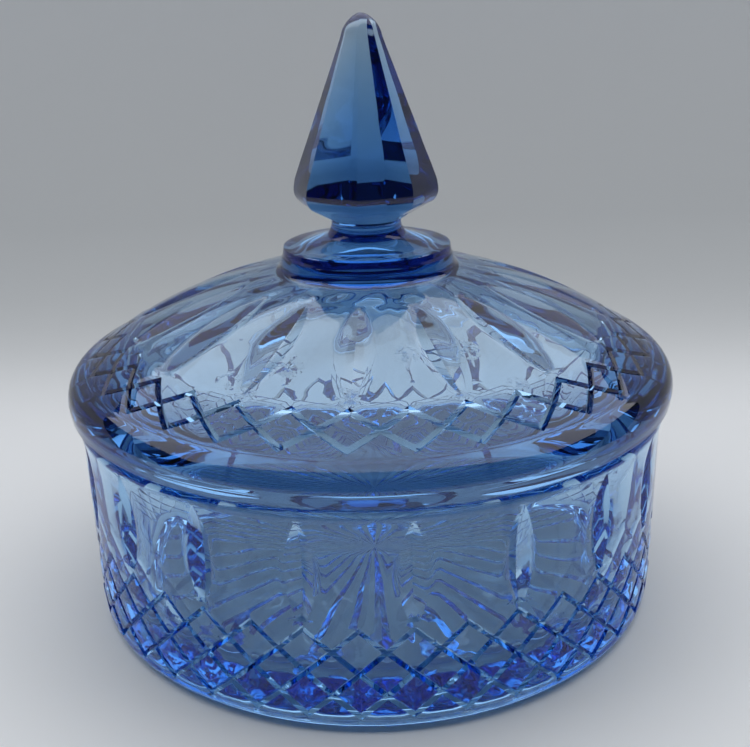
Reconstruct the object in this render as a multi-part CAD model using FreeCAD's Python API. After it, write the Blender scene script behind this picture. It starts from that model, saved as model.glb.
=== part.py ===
import FreeCAD, Part
import math
import os

# Covered candy dish, pressed glass: a round bowl and the lid that rests on it.
# Millimetres. Z is the axis of the dish, up, with Z = 0 on the table.

# ---- bowl --------------------------------------------------------------
FLUTES = 20               # tall lens-shaped cuts round the wall
FLUTE_AT = 5.94 - 90.0    # direction of one flute, degrees from +X
WALL_R = 73.4             # outer radius of the plain wall
FOOT_R = 69.6             # radius of the edge that meets the table
FOOT_IN = 66.3            # inner radius of the foot ring
RECESS = 1.0              # height of the recess under the base
RIM_R = 74.0              # outer radius of the slightly flared rim
RIM_Z = 53.0              # flat top of the rim
MOUTH_R = 66.55           # inner radius at the mouth
INNER_R = 64.6            # inner radius low on the wall: the inside tapers
FLOOR_Z = 7.2             # inside floor, at the middle
ROW_TOP = 25.8            # upper tips of the first row of diamonds
ROW_STEP = 5.35           # half the height of a diamond
ROWS = 4                  # half rows of diamonds, down to the foot
GROOVE_W = 1.4            # width of the grooves between diamonds
GROOVE_D = 1.0            # their depth
FLUTE_LEN = 25.6
FLUTE_W = 6.8
FLUTE_D = 2.0
NUBS = 24                 # small raised pads on the rim that carry the lid
NUB_AT = 4.77 - 90.0
NUB_R = 71.65
NUB_W = 3.8
NUB_DEEP = 2.0
NUB_H = 1.0
RAYS = 40                 # rays cut in the underside of the base
RAY_OFF = -4.5            # direction of one ray, degrees from a flute
RAY_IN = 4.0
RAY_OUT = 61.0
RAY_HALF = 2.4            # half the angle that a ray takes up, degrees
RAY_SLOPE = 0.5           # steepness of its two sides

# ---- lid ---------------------------------------------------------------
PETALS = 16               # radial lens-shaped cuts on the dome
PETAL_AT = -4.17 - 90.0
SEAT_GAP = 0.2            # air between the pads and the underside of the rim
LID_BASE = RIM_Z + NUB_H + SEAT_GAP
LID_R = 75.85
FLANGE_R = 65.4           # locating flange that hangs inside the mouth
FLANGE_IN = 62.2
FLANGE_Z = 50.4
TIP_R = 61.4              # upper tips of the diamonds on the lid
TIP_Z = 69.3
CROSS_R = 65.55           # where the zigzag grooves cross
CROSS_Z = 66.9
LOW_R = 69.5              # lower tips
LOW_Z = 64.3
LID_GROOVE_W = 1.5
LID_GROOVE_D = 1.1
PETAL_IN_R = 31.5
PETAL_IN_Z = 81.9
PETAL_W = 8.0
PETAL_D = 1.5
COLLAR_R = 20.85
COLLAR_TOP = 89.6
WALL_T = 4.6              # thickness of the dome
NECK_R = 8.6
NECK_Z = 95.3
KNOB_SIDES = 8
KNOB_EDGE_AT = -6.5 - 90.0  # direction of one edge of the knob
KNOB_R = 17.8             # corner radius where the knob is widest
KNOB_Z = 103.3
KNOB_TOP = 143.5

V = FreeCAD.Vector
AXIS_Z = V(0, 0, 1)
ORIGIN = V(0, 0, 0)


def polar(radius, degrees, z):
    a = math.radians(degrees)
    return V(radius * math.cos(a), radius * math.sin(a), z)


def outline(steps):
    """Closed wire in the XZ plane. A step is a point (r, z) or an arc (mid, end)."""
    edges = []
    last = V(steps[0][0], 0, steps[0][1])
    first = last
    for step in steps[1:]:
        if isinstance(step[0], tuple):
            mid = V(step[0][0], 0, step[0][1])
            end = V(step[1][0], 0, step[1][1])
            edges.append(Part.Arc(last, mid, end).toShape())
        else:
            end = V(step[0], 0, step[1])
            edges.append(Part.LineSegment(last, end).toShape())
        last = end
    edges.append(Part.LineSegment(last, first).toShape())
    return Part.Wire(edges)


def slice_of(wire, start, span):
    """Part of the turned body between two half planes through the axis."""
    face = Part.Face(wire)
    face.rotate(ORIGIN, AXIS_Z, start)
    return face.revolve(ORIGIN, AXIS_Z, span)


def groove(a, b, width, depth, over):
    """Triangular cutter whose keel runs from a to b, opened outwards."""
    run = b.sub(a)
    along = V(run).normalize()
    mid = a.add(b).multiply(0.5)
    out = V(mid.x, mid.y, 0).normalize()
    if abs(a.z - b.z) < abs(math.hypot(a.x, a.y) - math.hypot(b.x, b.y)) * 2.2:
        out = out.add(V(0, 0, 1.6)).normalize()
    side = along.cross(out).normalize()
    up = side.cross(along).normalize()
    rise = 3.0
    half = 0.5 * width / depth * (depth + rise)
    keel = a.sub(V(along).multiply(over)).sub(V(up).multiply(depth))
    top = keel.add(V(up).multiply(depth + rise))
    left = top.add(V(side).multiply(half))
    right = top.sub(V(side).multiply(half))
    face = Part.Face(Part.makePolygon([keel, left, right, keel]))
    return face.extrude(V(along).multiply(run.Length + 2 * over))


def wheel_cut(a, b, degrees, width, depth, sag):
    """Lens-shaped cut from a to b, points (r, z), in the half plane at degrees."""
    ar, az = a
    br, bz = b
    length = math.hypot(br - ar, bz - az)
    tr, tz = (br - ar) / length, (bz - az) / length
    nr, nz = (tz, -tr) if tz > 0 else (-tz, tr)
    if nr < 0:
        nr, nz = -nr, -nz
    half = 0.5 * length
    radius = (half * half + sag * sag) / (2.0 * sag)
    mr, mz = 0.5 * (ar + br), 0.5 * (az + bz)
    cr, cz = mr + nr * (radius - sag), mz + nz * (radius - sag)
    thick = depth + 2.0
    spread = 0.5 * width / depth * thick
    er, ez = cr - nr * radius, cz - nz * radius
    ir, iz = cr - nr * (radius - thick), cz - nz * (radius - thick)
    face = Part.Face(Part.makePolygon([V(er, 0, ez), V(ir, spread, iz), V(ir, -spread, iz), V(er, 0, ez)]))
    turn = math.degrees(math.asin(min(1.0, half / radius))) * 1.2
    centre = V(cr, 0, cz)
    face.rotate(centre, V(0, 1, 0), -turn)
    tool = face.revolve(centre, V(0, 1, 0), 2 * turn)
    tool.rotate(ORIGIN, AXIS_Z, degrees)
    return tool


def ring_of(piece, start, span, copies):
    """Close a slice into a full ring: drop its two cut faces, repeat, sew."""
    skin = []
    for face in piece.Faces:
        flat = False
        for at in (start, start + span):
            a = math.radians(at)
            n = V(-math.sin(a), math.cos(a), 0)
            if max(abs(v.Point.dot(n)) for v in face.Vertexes) < 1e-5:
                if face.Surface.TypeId == "Part::GeomPlane" and abs(abs(face.normalAt(0, 0).dot(n)) - 1.0) < 1e-6:
                    flat = True
        if not flat:
            skin.append(face)
    faces = []
    for i in range(copies):
        for face in skin:
            f = face.copy()
            f.rotate(ORIGIN, AXIS_Z, i * 360.0 / copies)
            faces.append(f)
    shell = Part.makeCompound(faces)
    shell.sewShape(1e-4)
    shells = shell.Shells
    solid = Part.makeSolid(shells[0])
    if solid.Volume < 0:
        solid.reverse()
    return solid


def make_bowl():
    span = 360.0 / FLUTES
    start = -0.5 * span + 0.9
    wire = outline([
        (0.0, RECESS),
        (FOOT_IN - 2.4, RECESS),
        (FOOT_IN - 1.1, 0.4),
        (FOOT_IN, 0.0),
        (FOOT_R, 0.0),
        ((FOOT_R + 2.3, 0.95), (WALL_R - 0.3, 4.0)),
        (WALL_R, 8.0),
        (WALL_R, 43.0),
        ((WALL_R + 0.15, 47.4), (RIM_R, 50.4)),
        ((RIM_R - 0.05, 52.0), (RIM_R - 1.0, RIM_Z)),
        (MOUTH_R + 1.05, RIM_Z),
        ((MOUTH_R + 0.25, 52.75), (MOUTH_R, 52.0)),
        (MOUTH_R - 0.35, 46.0),
        (INNER_R, 16.0),
        ((INNER_R - 2.8, 10.0), (INNER_R - 9.6, FLOOR_Z + 0.4)),
        (6.0, FLOOR_Z),
        (0.0, FLOOR_Z),
    ])
    body = slice_of(wire, start, span)
    tools = []
    half = 0.5 * span

    def at(k, level):
        z = ROW_TOP - ROW_STEP * level
        r = WALL_R if z > 4.0 else WALL_R - 0.3
        return polar(r, k * 0.5 * half, z)
    for k in range(-6, 7):
        for level in range(ROWS):
            if (k + level) % 2:
                continue
            for step in (-1, 1):
                tools.append(groove(at(k, level), at(k + step, level + 1), GROOVE_W, GROOVE_D, 0.5))
    for k in (-1, 0, 1):
        tools.append(wheel_cut((WALL_R, ROW_TOP - 0.2), (WALL_R + 0.6, ROW_TOP + FLUTE_LEN), k * span, FLUTE_W, FLUTE_D, FLUTE_D))
    step = 360.0 / RAYS
    for k in (-1, 0, 1, 2):
        a = RAY_OFF + k * step
        side = polar(1.0, a + 90.0, 0.0)
        ends = []
        for r in (RAY_IN, RAY_OUT):
            wide = r * math.tan(math.radians(RAY_HALF))
            below = 0.5
            keel = polar(r, a, RECESS + wide * RAY_SLOPE)
            low = polar(r, a, RECESS - below)
            w = wide + below / RAY_SLOPE
            ends.append(Part.makePolygon([keel, low.add(V(side).multiply(w)), low.sub(V(side).multiply(w)), keel]))
        tools.append(Part.makeLoft(ends, True, True))
    piece = body.cut(tools)
    solid = ring_of(piece.Solids[0] if piece.Solids else piece, start, span, FLUTES)
    solid.rotate(ORIGIN, AXIS_Z, FLUTE_AT)
    pads = []
    for i in range(NUBS):
        pad = Part.makeBox(NUB_DEEP, NUB_W, NUB_H + 0.5, V(NUB_R - 0.5 * NUB_DEEP, -0.5 * NUB_W, RIM_Z - 0.5))
        pad.rotate(ORIGIN, AXIS_Z, NUB_AT + i * 360.0 / NUBS)
        pads.append(pad)
    return solid.fuse(pads)


def make_lid():
    copies = 8
    span = 360.0 / copies
    start = -0.25 * span + 1.7
    b = LID_BASE
    # the dome's hollow runs parallel to its outside
    (ar, az), (mr, mz), (cr, cz) = (60.0, 70.1), (46.0, 76.7), (30.0, 82.0)
    d = 2 * (ar * (mz - cz) + mr * (cz - az) + cr * (az - mz))
    qa, qm, qc = ar * ar + az * az, mr * mr + mz * mz, cr * cr + cz * cz
    ur = (qa * (mz - cz) + qm * (cz - az) + qc * (az - mz)) / d
    uz = (qa * (cr - mr) + qm * (ar - cr) + qc * (mr - ar)) / d
    big = math.hypot(ar - ur, az - uz) - WALL_T

    def hollow(r):
        return (r, uz + math.sqrt(big * big - (r - ur) ** 2))
    wire = outline([
        (0.0, 82.1),
        (8.0, 81.9),
        (14.0, 81.15),
        hollow(28.9),
        (hollow(42.0), hollow(55.9)),
        ((60.4, 61.9), (FLANGE_IN, 55.5)),
        (FLANGE_IN, FLANGE_Z + 0.5),
        (FLANGE_IN + 0.6, FLANGE_Z),
        (FLANGE_R - 0.6, FLANGE_Z),
        (FLANGE_R, FLANGE_Z + 0.6),
        (FLANGE_R, b),
        (LID_R - 1.25, b),
        ((LID_R - 0.5, b + 0.22), (LID_R - 0.25, b + 0.9)),
        (LID_R, b + 3.0),
        (LID_R - 0.2, 58.6),
        ((LID_R - 1.6, 61.3), (71.2, 63.2)),
        (64.0, 67.9),
        (60.0, 70.1),
        ((46.0, 76.7), (30.0, 82.0)),
        (23.4, 83.6),
        ((22.3, 84.2), (COLLAR_R + 0.85, 85.4)),
        (COLLAR_R + 0.6, 86.8),
        (COLLAR_R + 0.2, 87.3),
        (COLLAR_R, COLLAR_TOP - 0.7),
        ((COLLAR_R - 0.15, COLLAR_TOP - 0.2), (COLLAR_R - 0.65, COLLAR_TOP)),
        (16.4, COLLAR_TOP + 0.4),
        (10.2, 91.6),
        ((9.15, 93.0), (NECK_R, NECK_Z - 0.3)),
        (NECK_R, NECK_Z + 1.2),
        (0.0, NECK_Z + 1.2),
    ])
    body = slice_of(wire, start, span)
    step = 360.0 / PETALS / 2.0
    tools = []
    for k in range(-3, 8):
        tip = polar(TIP_R, k * step, TIP_Z)
        low = polar(LOW_R, k * step, LOW_Z)
        for s in (-0.5, 0.5):
            cross = polar(CROSS_R, (k + s) * step, CROSS_Z)
            tools.append(groove(tip, cross, LID_GROOVE_W, LID_GROOVE_D, 0.5))
            tools.append(groove(low, cross, LID_GROOVE_W, LID_GROOVE_D, 0.5))
    for k in (-2, 0, 2, 4, 6):
        tools.append(wheel_cut((PETAL_IN_R, PETAL_IN_Z - 0.4), (TIP_R, TIP_Z), k * step, PETAL_W, PETAL_D, 0.75))
    piece = body.cut(tools)
    solid = ring_of(piece.Solids[0] if piece.Solids else piece, start, span, copies)
    solid.rotate(ORIGIN, AXIS_Z, PETAL_AT)

    # faceted knob: an eight-sided spire trimmed by a turned shape
    def section(r, z):
        return Part.makePolygon([polar(r, KNOB_EDGE_AT + i * 360.0 / KNOB_SIDES, z) for i in range(KNOB_SIDES)] +
                                [polar(r, KNOB_EDGE_AT, z)])
    foot_z = NECK_Z + 0.7
    steep = (16.5 - 9.45) / (99.8 - foot_z)
    under = Part.makeLoft([section(9.45, foot_z), section(9.45 + steep * (KNOB_Z + 0.6 - foot_z), KNOB_Z + 0.6)], True, True)
    post = Part.makeLoft([section(KNOB_R + 0.1, foot_z), section(KNOB_R + 0.1, KNOB_Z + 0.6)], True, True)
    spire = Part.makeLoft([section(KNOB_R + 0.1, KNOB_Z + 0.6), section(0.6, KNOB_TOP + 8.0)], True, True)
    turned = Part.Face(outline([
        (0.0, foot_z),
        (9.6, foot_z),
        (16.5, 99.8),
        ((17.55, 101.2), (KNOB_R, KNOB_Z)),
        (17.5, 105.2),
        (4.9, 138.2),
        ((3.5, 141.4), (0.0, KNOB_TOP)),
    ])).revolve(ORIGIN, AXIS_Z, 360)
    knob = turned.common(under.common(post).fuse(spire))
    return solid.fuse(knob)


def finish(shape):
    shape = shape.Solids[0] if shape.Solids else shape
    if not shape.isValid():
        shape.fix(1e-5, 1e-5, 1e-4)
    return shape


os.makedirs("parts", exist_ok=True)
for name, maker in (("bowl", make_bowl), ("lid", make_lid)):
    shape = maker()
    print(name, "solids", len(shape.Solids), "faces", len(shape.Faces), "valid", shape.isValid(),
          "closed", shape.isClosed(), "volume cm3", round(shape.Volume / 1000.0, 2))
    shape = finish(shape)
    shape.exportStep("parts/%s.step" % name)
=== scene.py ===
import math

import bpy
import numpy as np
from mathutils import Matrix, Vector


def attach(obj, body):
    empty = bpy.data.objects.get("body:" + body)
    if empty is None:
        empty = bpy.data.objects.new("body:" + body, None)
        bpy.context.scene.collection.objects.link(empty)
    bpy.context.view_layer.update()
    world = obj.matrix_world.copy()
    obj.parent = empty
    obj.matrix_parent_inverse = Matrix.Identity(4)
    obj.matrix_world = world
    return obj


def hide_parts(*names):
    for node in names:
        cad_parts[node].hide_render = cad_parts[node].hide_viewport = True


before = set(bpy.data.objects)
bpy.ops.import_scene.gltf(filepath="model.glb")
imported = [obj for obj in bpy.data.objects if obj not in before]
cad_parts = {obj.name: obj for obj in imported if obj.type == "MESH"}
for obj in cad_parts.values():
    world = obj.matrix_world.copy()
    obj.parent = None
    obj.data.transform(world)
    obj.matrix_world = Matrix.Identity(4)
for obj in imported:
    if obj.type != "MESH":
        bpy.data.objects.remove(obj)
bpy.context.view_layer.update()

MM = 0.001

# ---------------------------------------------------------------- profiles


def arc(p0, p1, p2, n):
    """Points from p0 through p1 to p2 on a circle, without p0."""
    (ax, ay), (bx, by), (cx, cy) = p0, p1, p2
    d = 2 * (ax * (by - cy) + bx * (cy - ay) + cx * (ay - by))
    ux = ((ax * ax + ay * ay) * (by - cy) + (bx * bx + by * by) * (cy - ay) + (cx * cx + cy * cy) * (ay - by)) / d
    uy = ((ax * ax + ay * ay) * (cx - bx) + (bx * bx + by * by) * (ax - cx) + (cx * cx + cy * cy) * (bx - ax)) / d
    r = math.hypot(ax - ux, ay - uy)
    t0, t1, t2 = (math.atan2(p[1] - uy, p[0] - ux) for p in (p0, p1, p2))
    span = (t2 - t0) % (2 * math.pi)
    if (t1 - t0) % (2 * math.pi) > span:
        span -= 2 * math.pi
    return [(ux + r * math.cos(t0 + span * i / n), uy + r * math.sin(t0 + span * i / n)) for i in range(1, n + 1)]


def line(p0, p1, n):
    return [(p0[0] + (p1[0] - p0[0]) * i / n, p0[1] + (p1[1] - p0[1]) * i / n) for i in range(1, n + 1)]


def path(start, *steps):
    """Polyline from start. A step is (end, n) or (mid, end, n)."""
    pts = [start]
    for s in steps:
        if len(s) == 2:
            pts += line(pts[-1], s[0], s[1])
        else:
            pts += arc(pts[-1], s[0], s[1], s[2])
    return pts


def smoothed(points, every=0.25):
    """Arc length at each point of a polyline, with the points, for a lookup of r(s), z(s)."""
    p = np.array(points, float)
    s = np.r_[0, np.cumsum(np.hypot(*np.diff(p, axis=0).T))]
    return s, p


class Curve:
    """A profile curve with place and outward normal by arc length."""

    def __init__(self, points, soften=0.0):
        s, p = smoothed(points)
        n = max(8, int(s[-1] / 0.1))
        t = np.linspace(0, s[-1], n)
        r, z = np.interp(t, s, p[:, 0]), np.interp(t, s, p[:, 1])
        if soften:
            k = max(1, int(soften / 0.1))
            w = np.hanning(2 * k + 1)
            w /= w.sum()
            pad = lambda a: np.r_[2 * a[0] - a[k:0:-1], a, 2 * a[-1] - a[-2:-k - 2:-1]]
            r, z = np.convolve(pad(r), w, "valid"), np.convolve(pad(z), w, "valid")
        self.t, self.r, self.z = t, r, z
        dr, dz = np.gradient(r), np.gradient(z)
        m = np.hypot(dr, dz)
        self.nr, self.nz = dz / m, -dr / m

    def at(self, s):
        g = lambda a: np.interp(s, self.t, a)
        return g(self.r), g(self.z), g(self.nr), g(self.nz)

    def s_at_r(self, r):
        o = np.argsort(self.r)
        return np.interp(r, self.r[o], self.t[o])

    def s_at_z(self, z):
        o = np.argsort(self.z)
        return np.interp(z, self.z[o], self.t[o])


# ---------------------------------------------------------------- ring meshes


class Rings:
    """A closed skin built from rings of points round Z."""

    def __init__(self, cols):
        self.cols = cols
        self.rows = []     # arrays (cols, 3)
        self.mids = []     # centre points of the cells below this row, or None

    def add(self, angles, r, z, mids=None):
        angles, r, z = np.broadcast_arrays(np.asarray(angles, float), r, z)
        self.rows.append(np.stack([r * np.cos(angles), r * np.sin(angles), z], 1))
        self.mids.append(mids)

    def mesh(self, name, start, end):
        n = self.cols
        verts = [np.array([start], float)] + self.rows + [np.array([end], float)]
        base = [0]
        for v in verts:
            base.append(base[-1] + len(v))
        extra = []
        count = base[-1]
        faces = []
        j = np.arange(n)
        k = (j + 1) % n
        faces += [(0, 1 + b, 1 + a) for a, b in zip(j, k)]
        for i in range(1, len(self.rows)):
            lo, hi = base[i], base[i + 1]
            m = self.mids[i]
            if m is None:
                faces += [(lo + a, lo + b, hi + b, hi + a) for a, b in zip(j, k)]
            else:
                extra.append(m)
                for a, b in zip(j, k):
                    c = count + a
                    faces += [(lo + a, lo + b, c), (lo + b, hi + b, c), (hi + b, hi + a, c), (hi + a, lo + a, c)]
                count += n
        top = base[-1] - 1
        last = base[len(self.rows)]
        faces += [(last + a, last + b, top) for a, b in zip(j, k)]
        pts = np.concatenate(verts + extra) * MM
        me = bpy.data.meshes.new(name)
        me.from_pydata(pts.tolist(), [], faces)
        me.validate()
        me.update()
        return me


def ripple(angles, s, seed, parts):
    """Slow unevenness of a pressed face. parts holds (height in mm, length in mm, radius, how many)."""
    rng = np.random.default_rng(seed)
    out = np.zeros_like(angles, float)
    for height, length, radius, many in parts:
        for _ in range(many):
            a = rng.uniform(0, 2 * math.pi)
            turns = round(2 * math.pi * radius / length * math.cos(a) * rng.uniform(0.7, 1.3))
            along = 2 * math.pi / length * math.sin(a) * rng.uniform(0.7, 1.3)
            out += height / math.sqrt(many) * np.sin(turns * angles + along * s + rng.uniform(0, 2 * math.pi))
    return out


def piece(name, me, sharp):
    ob = bpy.data.objects.new(name, me)
    bpy.context.scene.collection.objects.link(ob)
    me.shade_smooth()
    me.set_sharp_from_angle(angle=math.radians(sharp))
    return ob


# ---------------------------------------------------------------- bowl

FLUTES = 20
COLS_B = FLUTES * 24
FLUTE_AT = math.radians(5.94 - 90.0)
ROW_TOP, ROW_STEP = 25.8, 5.35
GROOVE_B, GROOVE_BW = 1.0, 1 / 6.0
LIP, CROWN = 0.06, 0.28
BOWL_RIPPLE = ((0.04, 14.0, 64.0, 8), (0.004, 5.0, 64.0, 8))
NUBS, NUB_AT = 24, math.radians(4.77 - 90.0)
RAY_AT, RAY_HALF, RAY_SLOPE = math.radians(1.44 - 90.0), 2.7, 0.50
RECESS = 1.0


def near_even(x):
    return np.abs((x + 1.0) % 2.0 - 1.0)


def bowl_groove(u, v):
    """Depth of the V grooves. u is in half diamonds round, v in half diamonds down."""
    a, b = near_even(u - v), near_even(u + v)
    d = np.where((v < 0) | (v > 4), np.maximum(a, b), np.minimum(a, b))
    inside = (v > near_even(u) + 1e-6) & (v < 4 - near_even(u) - 1e-6)
    return GROOVE_B * np.interp(d, (0, GROOVE_BW, 2 * GROOVE_BW), (1, LIP, 0)) + CROWN * (1 - d) * inside


def make_bowl():
    n = COLS_B
    col = np.arange(n)
    sector = 2 * math.pi / FLUTES
    even = FLUTE_AT + col * (2 * math.pi / n)
    local = ((col + 12) % 24) - 12          # -12..11 within a flute's sector
    rings = Rings(n)

    # underside: rays, recess, foot
    part = (col + 6) % 12 - 6.0                # -6..5 round the keel of a ray's cut
    warp = np.interp(np.abs(part), (0, 1, 6), (0, RAY_HALF, 4.5)) * np.sign(part)
    rays = RAY_AT + np.radians(np.floor((col + 6) / 12) * 9.0 + warp)
    keel = np.where(np.abs(part) < 1, 1.0, 0.0)
    for r in [2.0, 4.0, 6.0] + list(np.linspace(9.0, 60.0, 18)) + [62.0]:
        deep = RAY_SLOPE * math.radians(RAY_HALF) * r * min(1.0, (62.0 - r) / 2.0)
        rings.add(rays, r, RECESS + deep * keel)
    for r, z in path((63.6, RECESS), ((64.6, 0.8), (65.2, 0.4), 3), ((65.6, 0.1), (66.3, 0.0), 3), ((69.6, 0.0), 3)):
        rings.add(even, r, z)

    # outer wall
    wall = Curve(path((69.6, 0.0), ((71.9, 0.95), (73.1, 4.0), 14), ((73.4, 8.0), 6), ((73.4, 43.0), 40),
                      ((73.55, 47.4), (74.0, 50.4), 14), ((73.95, 52.0), (73.0, 53.0), 8)), 0.7)

    def on_wall(angles, z, depth):
        s = wall.s_at_z(np.asarray(z, float))
        r, zz, nr, nz = wall.at(s)
        return angles, r - nr * depth, zz - nz * depth

    u = col / 6.0
    for z in (0.25, 0.6, 1.1, 1.8):
        rings.add(*on_wall(even, np.full(n, z), 0.0))
    last = None
    for i in range(26, -3, -1):              # rows of the diamond band, 6 to a half diamond
        v = i / 6.0
        z = ROW_TOP - ROW_STEP * v
        mids = None
        if last is not None:
            vm = 0.5 * (v + last)
            um = (col + 0.5) / 6.0
            am, rm, zm = on_wall(even + math.pi / n, np.full(n, ROW_TOP - ROW_STEP * vm), bowl_groove(um, vm))
            mids = np.stack([rm * np.cos(am), rm * np.sin(am), zm], 1)
        rings.add(*on_wall(even, np.full(n, z), bowl_groove(u, v)), mids=mids)
        last = v
    zc, half_l, w_mm, deep = 38.45, 12.85, 3.4, 2.0
    for z in list(np.linspace(28.4, 49.6, 22)) + [50.5, 51.0]:
        e = np.clip(1 - ((z - zc) / half_l) ** 2, 0, 1)
        w = w_mm / 73.4 * e
        if w < 0.0025:
            rings.add(*on_wall(even, np.full(n, z), 0.0))
            continue
        t = np.abs(local)
        off = np.where(t <= 4, w * t / 4.0, w + (sector / 2 - w) * (t - 4) / 8.0) * np.sign(local)
        ang = FLUTE_AT + np.floor((col + 12) / 24) * sector + off
        cut = deep * e * np.interp(t, (0, 4, 5), (1, 0.06, 0))
        rings.add(*on_wall(ang, np.full(n, z), cut))
    for z in (51.4, 51.8, 52.2, 52.5, 52.75, 52.9):
        rings.add(*on_wall(even, np.full(n, z), 0.0))

    # rim with its small raised pads
    pad_phase = ((even - NUB_AT) / (2 * math.pi / NUBS) + 0.5) % 1.0 - 0.5
    pad_off = np.abs(pad_phase) * 15.0       # degrees from the nearest pad
    pad = np.clip((2.0 - pad_off) / 0.9, 0, 1)
    pad = pad * pad * (3 - 2 * pad)
    for r, k in ((72.9, 0), (72.75, 0.0), (72.6, 0.6), (72.35, 1.0), (71.8, 1.0), (71.0, 1.0), (70.75, 0.6), (70.5, 0.0), (69.3, 0), (68.0, 0)):
        rings.add(even, r, 53.0 + 1.0 * pad * k)

    # inside
    inner = Curve(path((67.6, 53.0), ((66.8, 52.8), (66.55, 52.0), 6), ((66.2, 46.0), 6), ((64.6, 16.0), 20),
                       ((61.8, 10.0), (55.0, 7.6), 16), ((6.0, 7.2), 30), ((4.0, 7.2), 2)), 1.0)
    for s in np.r_[np.linspace(0, 1.6, 6)[:-1], np.linspace(1.6, 33.0, 22)[:-1], np.linspace(33.0, 54.0, 20)[:-1],
                   np.linspace(54.0, inner.t[-1], 24)]:
        r, z, nr, nz = inner.at(s)
        w = ripple(even, s, 11, BOWL_RIPPLE) * min(1.0, max(0.0, (s - 8.0) / 12.0)) * min(1.0, r / 20.0)
        rings.add(even, r + nr * w, z + nz * w)
    return rings.mesh("bowl_glass", (0, 0, RECESS), (0, 0, 7.2))


# ---------------------------------------------------------------- lid

PETALS = 16
COLS_L = PETALS * 20
PETAL_AT = math.radians(-4.17 - 90.0)
GROOVE_L, GROOVE_LW = 1.2, 0.2
LID_BASE = 54.2
KNOB_RIPPLE = ((0.02, 9.0, 12.0, 8),)
LID_RIPPLE = ((0.08, 15.0, 45.0, 8), (0.010, 5.0, 45.0, 8))
WALL_L = 4.6
KNOB_EDGE = math.radians(-6.42 - 90.0)


def near_odd(x):
    return np.abs(x % 2.0 - 1.0)


def lid_groove(u, v):
    a, b = near_odd(u - v), near_odd(u + v)
    d = np.where(np.abs(v) > 1, np.maximum(a, b), np.minimum(a, b))
    return GROOVE_L * np.interp(d, (0, GROOVE_LW, 2 * GROOVE_LW), (1, LIP, 0))


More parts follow.
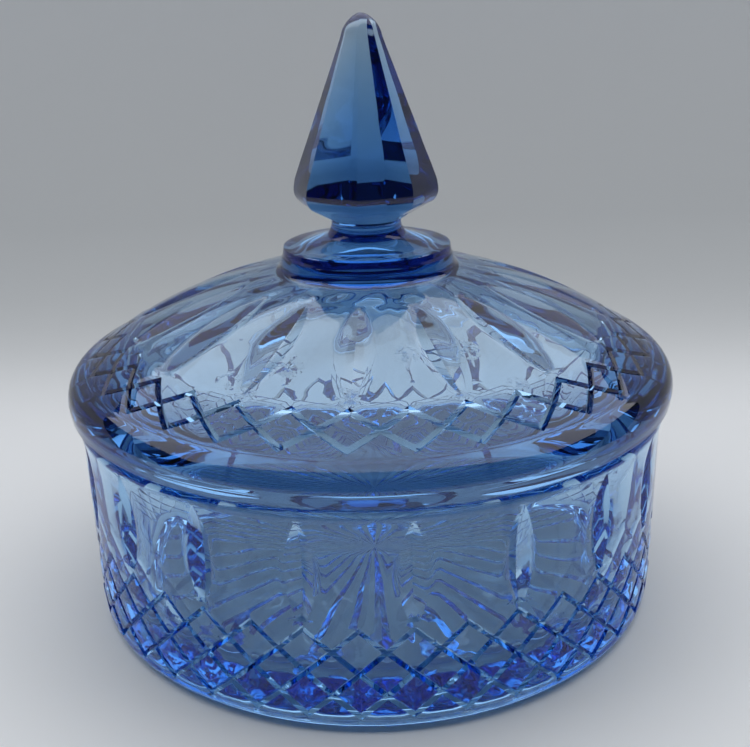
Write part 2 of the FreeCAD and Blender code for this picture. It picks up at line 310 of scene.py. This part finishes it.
def make_lid():
    n = COLS_L
    col = np.arange(n)
    sector = 2 * math.pi / PETALS
    even = PETAL_AT + col * (2 * math.pi / n)
    local = ((col + 10) % 20) - 10
    rings = Rings(n)

    # outside, from the rim to the collar
    top = Curve(path((74.6, LID_BASE), ((75.35, 54.42), (75.6, 55.1), 6), ((75.85, 57.2), 3), ((75.65, 58.6), 4), ((74.25, 61.3), (71.2, 63.2), 14),
                     ((64.0, 67.9), 16), ((60.0, 70.1), 8), ((46.0, 76.7), (30.0, 82.0), 40), ((23.4, 83.6), 8),
                     ((22.3, 84.2), (21.7, 85.4), 5), ((21.45, 86.8), 3), ((21.05, 87.3), 2),
                     ((20.85, 88.9), 4), ((20.7, 89.4), (20.2, 89.6), 4), ((16.4, 90.0), 5),
                     ((10.2, 91.6), 7), ((9.15, 93.0), (8.6, 95.0), 8), ((8.6, 95.3), 2)), 0.35)

    top_s = lambda r: np.interp(-r, -top.r[top.z < 83.0], top.t[top.z < 83.0])

    # underside: dome hollow, flange, seat
    dome = [top.at(top_s(r)) for r in np.linspace(25.0, 58.5, 24)]
    dome = [(float(r - nr * WALL_L), float(z - nz * WALL_L)) for r, z, nr, nz in dome]
    under = Curve([(2.0, 82.05)] + line((2.0, 82.05), (8.0, 81.9), 3) + line((8.0, 81.9), (14.0, 81.15), 4) + dome +
                  path(dome[-1], ((60.6, 61.8), (62.2, 55.5), 14), ((62.2, 51.1), 5), ((62.4, 50.6), (62.9, 50.4), 3), ((64.7, 50.4), 2), ((65.2, 50.6), (65.4, 51.1), 3),
                       ((65.4, 53.4), 3), ((65.6, 54.0), (66.2, LID_BASE), 3), ((74.6, LID_BASE), 8))[1:], 0.6)
    end = under.t[-1]
    for s in np.r_[np.linspace(0, end - 36, 52)[:-1], np.linspace(end - 36, end - 18, 16)[:-1], np.linspace(end - 18, end, 34)[:-1]]:
        r, z, nr, nz = under.at(s)
        w = ripple(even, s, 23, LID_RIPPLE) * min(1.0, max(0.0, (r - 20.0) / 8.0)) * min(1.0, max(0.0, (end - 22.0 - s) / 8.0))
        rings.add(even, r + nr * w, z + nz * w)

    s_of = lambda r: np.interp(-r, -top.r[top.z < 89.0], top.t[top.z < 89.0])
    s_low, s_cross, s_tip = s_of(69.5), s_of(65.55), s_of(61.4)
    s_inner = s_of(31.0)

    def s_row(v):
        return s_cross + (s_tip - s_cross) * v if v > 0 else s_cross + (s_cross - s_low) * v

    for s in np.r_[np.linspace(0, 3.6, 7), np.linspace(3.6, s_row(-1.4), 16)[1:-1]]:
        r, z, _, _ = top.at(s)
        rings.add(even, r, z)
    u = col * 0.2
    last = None
    for i in range(-7, 8):
        v = i / 5.0
        r, z, nr, nz = top.at(s_row(v))
        d = lid_groove(u, v)
        mids = None
        if last is not None:
            vm = 0.5 * (v + last)
            rm, zm, nrm, nzm = top.at(s_row(vm))
            dm = lid_groove((col + 0.5) * 0.2, vm)
            am = even + math.pi / n
            rm, zm = rm - nrm * dm, zm - nzm * dm
            mids = np.stack([rm * np.cos(am), rm * np.sin(am), zm], 1)
        rings.add(even, r - nr * d, z - nz * d, mids=mids)
        last = v
    s0, s1 = s_row(1.25), s_inner
    for s in np.linspace(s_row(1.4), s1, 32)[1:]:
        f = (s - s0) / (s1 - s0)
        e = np.clip(4 * f * (1 - f), 0, 1) ** 0.9
        r, z, nr, nz = top.at(s)
        w = 4.0 * e / r
        if w < 0.004:
            rings.add(even, r, z)
            continue
        t = np.abs(local)
        off = np.where(t <= 4, w * t / 4.0, w + (sector / 2 - w) * (t - 4) / 6.0) * np.sign(local)
        ang = PETAL_AT + np.floor((col + 10) / 20) * sector + off
        cut = 1.6 * e * np.interp(t, (0, 4, 5), (1, 0.08, 0))
        rings.add(ang, r - nr * cut, z - nz * cut)
    for s in np.r_[np.linspace(s1, top.t[-1] - 26.5, 6)[1:], np.linspace(top.t[-1] - 26.5, top.t[-1], 40)[1:]]:
        r, z, _, _ = top.at(s)
        rings.add(even, r, z)

    # knob: eight flat sides on a turned body
    knob = Curve(path((8.6, 95.3), ((8.7, 95.7), (9.3, 96.0), 4), ((16.5, 99.8), 8), ((17.55, 101.2), (17.8, 103.3), 8),
                      ((17.5, 105.2), 4), ((4.9, 138.2), 30), ((3.5, 141.4), (0.6, 143.45), 8)), 0.8)
    phi = ((even - KNOB_EDGE) / (math.pi / 4)) % 1.0
    flat = math.cos(math.pi / 8) / np.cos((phi - 0.5) * math.pi / 4)
    for s in np.r_[np.linspace(0, 14, 20)[1:], np.linspace(14, 46.5, 34)[1:], np.linspace(46.5, knob.t[-1], 12)[1:]]:
        r, z, _, _ = knob.at(s)
        # how far the sides are cut flat: not on the neck, fully from the underside up, round at the tip
        k = np.clip((z - 96.2) / 1.5, 0, 1) * np.clip((142.8 - z) / 3.0, 0, 1)
        w = ripple(even, s, 31, KNOB_RIPPLE) * np.clip(r / 10.0, 0, 1)
        rings.add(even, r * (1 - k + k * flat) + w, z)
    return rings.mesh("lid_glass", (0, 0, 82.1), (0, 0, 143.5))


# ---------------------------------------------------------------- glass


def glass(name, tint, density, seed, marks, worn=None):
    m = bpy.data.materials.new(name)
    m.use_nodes = True
    nt = m.node_tree
    nt.nodes.clear()
    new, link = nt.nodes.new, nt.links.new
    out = new("ShaderNodeOutputMaterial")
    b = new("ShaderNodeBsdfPrincipled")
    b.inputs["Base Color"].default_value = (0.98, 0.99, 1.0, 1)
    b.inputs["Roughness"].default_value = 0.0
    b.inputs["IOR"].default_value = 1.5
    b.inputs["Transmission Weight"].default_value = 1.0
    link(b.outputs[0], out.inputs["Surface"])
    vol = new("ShaderNodeVolumeAbsorption")
    vol.inputs["Color"].default_value = (*tint, 1)
    vol.inputs["Density"].default_value = density
    link(vol.outputs[0], out.inputs["Volume"])

    def math_node(op, a, c=None, clamp=False):
        k = new("ShaderNodeMath")
        k.operation = op
        k.use_clamp = clamp
        for socket, v in zip(k.inputs, (a, c)):
            if v is None:
                continue
            if isinstance(v, (int, float)):
                socket.default_value = v
            else:
                link(v, socket)
        return k.outputs[0]

    def noise(scale, detail, shift):
        k = new("ShaderNodeTexNoise")
        k.noise_dimensions = "4D"
        k.inputs["W"].default_value = seed + shift
        k.inputs["Scale"].default_value = scale
        k.inputs["Detail"].default_value = detail
        link(co.outputs["Object"], k.inputs["Vector"])
        return k.outputs["Fac"]

    co = new("ShaderNodeTexCoord")
    if worn:
        # faces worn matt by the lid: from worn[0] to worn[1], in mm up the piece
        xyz = new("ShaderNodeSeparateXYZ")
        link(co.outputs["Object"], xyz.inputs[0])
        up = math_node("DIVIDE", math_node("SUBTRACT", xyz.outputs["Z"], worn[0] * MM), (worn[1] - worn[0]) * MM, clamp=True)
        link(math_node("MULTIPLY", up, 0.55), b.inputs["Roughness"])
    # slow waves left by the mould, and small puckered chill marks
    height = math_node("MULTIPLY", noise(40.0, 1.0, 0.0), 0.06)
    if marks:
        near = None
        for at, radius in marks:
            d = new("ShaderNodeVectorMath")
            d.operation = "DISTANCE"
            d.inputs[1].default_value = [c * MM for c in at]
            link(co.outputs["Object"], d.inputs[0])
            k = math_node("SUBTRACT", 1.0, math_node("DIVIDE", d.outputs["Value"], radius * MM), clamp=True)
            near = k if near is None else math_node("MAXIMUM", near, k)
        fine = math_node("MULTIPLY", math_node("SUBTRACT", noise(620.0, 2.0, 5.0), 0.5), 9.0, clamp=True)
        pucker = math_node("MULTIPLY", math_node("MULTIPLY", near, 1.6, clamp=True), fine)
        height = math_node("ADD", height, math_node("MULTIPLY", pucker, 0.12))
    bump = new("ShaderNodeBump")
    bump.inputs["Strength"].default_value = 1.0
    bump.inputs["Distance"].default_value = 0.001
    link(height, bump.inputs["Height"])
    link(bump.outputs[0], b.inputs["Normal"])
    return m


bowl = piece("bowl_glass", make_bowl(), 24)
lid = piece("lid_glass", make_lid(), 24)
BOWL_TINT, BOWL_DENSITY = (0.0, 0.52, 0.885), 48.0
LID_TINT, LID_DENSITY = (0.0, 0.44, 0.775), 86.0
bowl.data.materials.append(glass("blue_glass_bowl", BOWL_TINT, BOWL_DENSITY, 1.0, (), (53.3, 53.7)))
CHILLS = (((-29.9, -47.9, 71.8), 3.2), ((-17.6, -48.4, 74.3), 4.0), ((7.4, -46.9, 76.0), 3.2), ((20.5, -44.0, 75.6), 3.4),
          ((-26.1, -53.5, 70.3), 2.4), ((-5.0, -57.3, 71.3), 2.6), ((30.6, -51.0, 70.3), 2.6), ((28.0, 39.0, 75.6), 3.4),
          ((-40.0, 30.0, 74.0), 3.6), ((-12.0, 50.0, 74.2), 3.0), ((48.0, 8.0, 75.2), 3.2))
lid.data.materials.append(glass("blue_glass_lid", LID_TINT, LID_DENSITY, 2.0, CHILLS))
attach(bowl, "bowl")
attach(lid, "lid")
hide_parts("bowl")
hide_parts("lid")

# ---------------------------------------------------------------- studio


def paper():
    """Pale table paper that turns to a darker grey where it climbs the wall: painted shade on the wall."""
    m = bpy.data.materials.new("studio_paper")
    m.use_nodes = True
    nt = m.node_tree
    b = nt.nodes["Principled BSDF"]
    b.inputs["Roughness"].default_value = 0.85
    b.inputs["Specular IOR Level"].default_value = 0.2
    co = nt.nodes.new("ShaderNodeTexCoord")
    xyz = nt.nodes.new("ShaderNodeSeparateXYZ")
    ramp = nt.nodes.new("ShaderNodeMapRange")
    ramp.interpolation_type = "SMOOTHSTEP"
    ramp.inputs["From Min"].default_value = 0.09
    ramp.inputs["From Max"].default_value = 0.24
    mix = nt.nodes.new("ShaderNodeMix")
    mix.data_type = "RGBA"
    mix.inputs["A"].default_value = (0.81, 0.82, 0.835, 1)
    nt.links.new(co.outputs["Object"], xyz.inputs[0])
    nt.links.new(xyz.outputs["Y"], ramp.inputs["Value"])
    nt.links.new(ramp.outputs[0], mix.inputs["Factor"])
    # painted light and shade: the wall gets less of the light the higher it is, so its paper is painted paler there,
    # and its foot is painted a darker grey as shade
    rise = nt.nodes.new("ShaderNodeMapRange")
    rise.inputs["From Min"].default_value = 0.04
    rise.inputs["From Max"].default_value = 0.20
    wall_painted_shade = nt.nodes.new("ShaderNodeMix")
    wall_painted_shade.data_type = "RGBA"
    wall_painted_shade.inputs["A"].default_value = (0.575, 0.59, 0.60, 1)
    wall_painted_shade.inputs["B"].default_value = (0.93, 0.94, 0.95, 1)
    nt.links.new(xyz.outputs["Z"], rise.inputs["Value"])
    nt.links.new(rise.outputs[0], wall_painted_shade.inputs["Factor"])
    nt.links.new(wall_painted_shade.outputs["Result"], mix.inputs["B"])
    # painted light: the near edge of the table is further from the light, so its paper is painted paler there to make
    # up for it
    near = nt.nodes.new("ShaderNodeMapRange")
    near.interpolation_type = "SMOOTHSTEP"
    near.inputs["From Min"].default_value = 0.0
    near.inputs["From Max"].default_value = -0.14
    front_painted_light = nt.nodes.new("ShaderNodeMix")
    front_painted_light.data_type = "RGBA"
    front_painted_light.inputs["B"].default_value = (0.93, 0.935, 0.94, 1)
    nt.links.new(xyz.outputs["Y"], near.inputs["Value"])
    nt.links.new(near.outputs[0], front_painted_light.inputs["Factor"])
    nt.links.new(mix.outputs["Result"], front_painted_light.inputs["A"])
    nt.links.new(front_painted_light.outputs["Result"], b.inputs["Base Color"])
    return m


def sweep():
    """Table top that curves up into the wall behind."""
    pts = [(-1.6, -0.0003), (0.16, -0.0003)]
    cx, cz, r = 0.16, 0.16, 0.1603
    for i in range(1, 17):
        a = -math.pi / 2 + (math.pi / 2) * i / 16
        pts.append((cx + r * math.cos(a), cz + r * math.sin(a)))
    pts.append((cx + r, 0.36))
    verts, faces = [], []
    for y, z in pts:
        verts += [(-2.2, y, z), (2.2, y, z)]
    for i in range(len(pts) - 1):
        a = 2 * i
        faces.append((a, a + 1, a + 3, a + 2))
    me = bpy.data.meshes.new("studio_sweep")
    me.from_pydata(verts, [], faces)
    me.update()
    me.shade_smooth()
    ob = bpy.data.objects.new("studio_sweep", me)
    bpy.context.scene.collection.objects.link(ob)
    ob.data.materials.append(paper())
    return ob


sweep()


def area(name, at, look, size, power, colour=(1, 1, 1)):
    li = bpy.data.lights.new(name, "AREA")
    li.shape = "RECTANGLE"
    li.size, li.size_y = size
    li.energy = power
    li.color = colour
    ob = bpy.data.objects.new(name, li)
    ob.location = at
    ob.rotation_euler = (Vector(look) - Vector(at)).to_track_quat("-Z", "Y").to_euler()
    bpy.context.scene.collection.objects.link(ob)
    return ob


area("soft_ceiling", (0.0, 0.80, 1.40), (0, 0.80, 0.0), (3.6, 2.7), 50.0)
w = bpy.data.worlds.new("room")
w.use_nodes = True
w.node_tree.nodes["Background"].inputs[0].default_value = (0.46, 0.69, 1.0, 1)
w.node_tree.nodes["Background"].inputs[1].default_value = 0.075
bpy.context.scene.world = w

# ---------------------------------------------------------------- camera

cam = bpy.data.cameras.new("camera")
cam.sensor_fit = "HORIZONTAL"
cam.sensor_width = 36.0
cam.lens = 36.0 * 1017.28 / 750.0
cam.clip_start = 0.01
cam_ob = bpy.data.objects.new("camera", cam)
bpy.context.scene.collection.objects.link(cam_ob)
pitch, yaw, roll = (math.radians(a) for a in (20.2976, 0.2727, -1.4611))
fwd = Vector((math.sin(yaw) * math.cos(pitch), math.cos(yaw) * math.cos(pitch), -math.sin(pitch)))
right = Vector((math.cos(yaw), -math.sin(yaw), 0))
up = right.cross(fwd)
r2 = math.cos(roll) * right + math.sin(roll) * up
u2 = -math.sin(roll) * right + math.cos(roll) * up
rot = Matrix((r2, u2, -fwd)).transposed()
cam_ob.matrix_world = Matrix.Translation((0.0, -0.24904, 0.14668)) @ rot.to_4x4()
bpy.context.scene.camera = cam_ob

sc = bpy.context.scene
sc.view_settings.view_transform = "Standard"
sc.cycles.max_bounces = 40
sc.cycles.transmission_bounces = 36
sc.cycles.glossy_bounces = 12
sc.cycles.transparent_max_bounces = 16
sc.cycles.caustics_reflective = True
sc.cycles.caustics_refractive = True
sc.cycles.sample_clamp_indirect = 4.0
